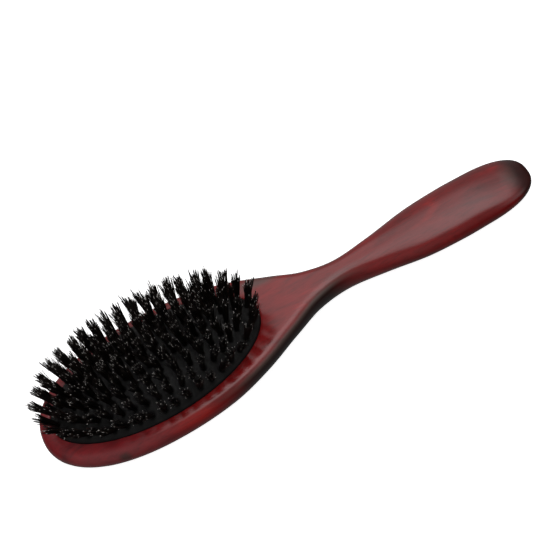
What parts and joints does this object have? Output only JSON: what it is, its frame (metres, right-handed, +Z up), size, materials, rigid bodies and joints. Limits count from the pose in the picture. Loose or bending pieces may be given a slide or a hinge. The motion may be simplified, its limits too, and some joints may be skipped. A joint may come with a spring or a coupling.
{
  "type": "cushion hair brush",
  "caption": "Oval cushion hair brush: one-piece lacquered wooden head and handle, domed rubber cushion set in the head, dark bristle tufts in rings that fan outward",
  "frame": {"origin": "centre of the footprint, on the plane the brush lies on", "axes": "+X along the brush towards the end of the handle, +Z up through the bristles, +Y across; the brush is mirrored about Y = 0"},
  "size_m": [0.225, 0.064, 0.0348],
  "materials": {
    "lacquered_wood": "red-burgundy stained wood under clear gloss lacquer",
    "black_rubber": "matt black moulded rubber",
    "dark_bristle": "natural dark bristle fibre, slightly glossy, on drawn steel wire"
  },
  "bodies": {
    "body": {"wooden_body": "lacquered_wood", "rubber_cushion": "black_rubber"},
    "tuft_ring_1": {"tuft_run_1_01": "dark_bristle", "tuft_run_1_02": "dark_bristle", "tuft_run_1_03": "dark_bristle", "tuft_run_1_04": "dark_bristle", "tuft_run_1_05": "dark_bristle", "tuft_run_1_06": "dark_bristle", "tuft_run_1_07": "dark_bristle", "tuft_run_1_08": "dark_bristle", "tuft_run_1_09": "dark_bristle", "tuft_run_1_10": "dark_bristle"},
    "tuft_ring_2": {"tuft_run_2_01": "dark_bristle", "tuft_run_2_02": "dark_bristle", "tuft_run_2_03": "dark_bristle", "tuft_run_2_04": "dark_bristle", "tuft_run_2_05": "dark_bristle", "tuft_run_2_06": "dark_bristle", "tuft_run_2_07": "dark_bristle", "tuft_run_2_08": "dark_bristle", "tuft_run_2_09": "dark_bristle"},
    "tuft_ring_3": {"tuft_run_3_01": "dark_bristle", "tuft_run_3_02": "dark_bristle", "tuft_run_3_03": "dark_bristle", "tuft_run_3_04": "dark_bristle", "tuft_run_3_05": "dark_bristle", "tuft_run_3_06": "dark_bristle", "tuft_run_3_07": "dark_bristle"},
    "tuft_ring_4": {"tuft_run_4_01": "dark_bristle", "tuft_run_4_02": "dark_bristle", "tuft_run_4_03": "dark_bristle", "tuft_run_4_04": "dark_bristle", "tuft_run_4_05": "dark_bristle", "tuft_run_4_06": "dark_bristle"},
    "tuft_ring_5": {"tuft_run_5_01": "dark_bristle", "tuft_run_5_02": "dark_bristle", "tuft_run_5_03": "dark_bristle", "tuft_run_5_04": "dark_bristle", "tuft_run_5_05": "dark_bristle"},
    "centre_row": {"tuft_run_6_01": "dark_bristle", "tuft_run_6_02": "dark_bristle"}
  },
  "joints": [
    {"name": "cushion_press", "type": "slide", "parent": "body", "child": "centre_row", "axis": [0, 0, -1], "range_m": [0, 0.004], "stiffness_N_per_m": 1200, "deforming": ["rubber_cushion"]},
    {"name": "ring_1_press", "type": "slide", "parent": "body", "child": "tuft_ring_1", "axis": [0, 0, -1], "range_m": [0, 0.00079]},
    {"name": "ring_2_press", "type": "slide", "parent": "body", "child": "tuft_ring_2", "axis": [0, 0, -1], "range_m": [0, 0.00265]},
    {"name": "ring_3_press", "type": "slide", "parent": "body", "child": "tuft_ring_3", "axis": [0, 0, -1], "range_m": [0, 0.00369]},
    {"name": "ring_4_press", "type": "slide", "parent": "body", "child": "tuft_ring_4", "axis": [0, 0, -1], "range_m": [0, 0.00401]},
    {"name": "ring_5_press", "type": "slide", "parent": "body", "child": "tuft_ring_5", "axis": [0, 0, -1], "range_m": [0, 0.00405]}
  ],
  "couplings": [
    {"joint": "ring_1_press", "follows": "cushion_press", "ratio": 0.185},
    {"joint": "ring_2_press", "follows": "cushion_press", "ratio": 0.651},
    {"joint": "ring_3_press", "follows": "cushion_press", "ratio": 0.909},
    {"joint": "ring_4_press", "follows": "cushion_press", "ratio": 0.989},
    {"joint": "ring_5_press", "follows": "cushion_press", "ratio": 1}
  ]
}
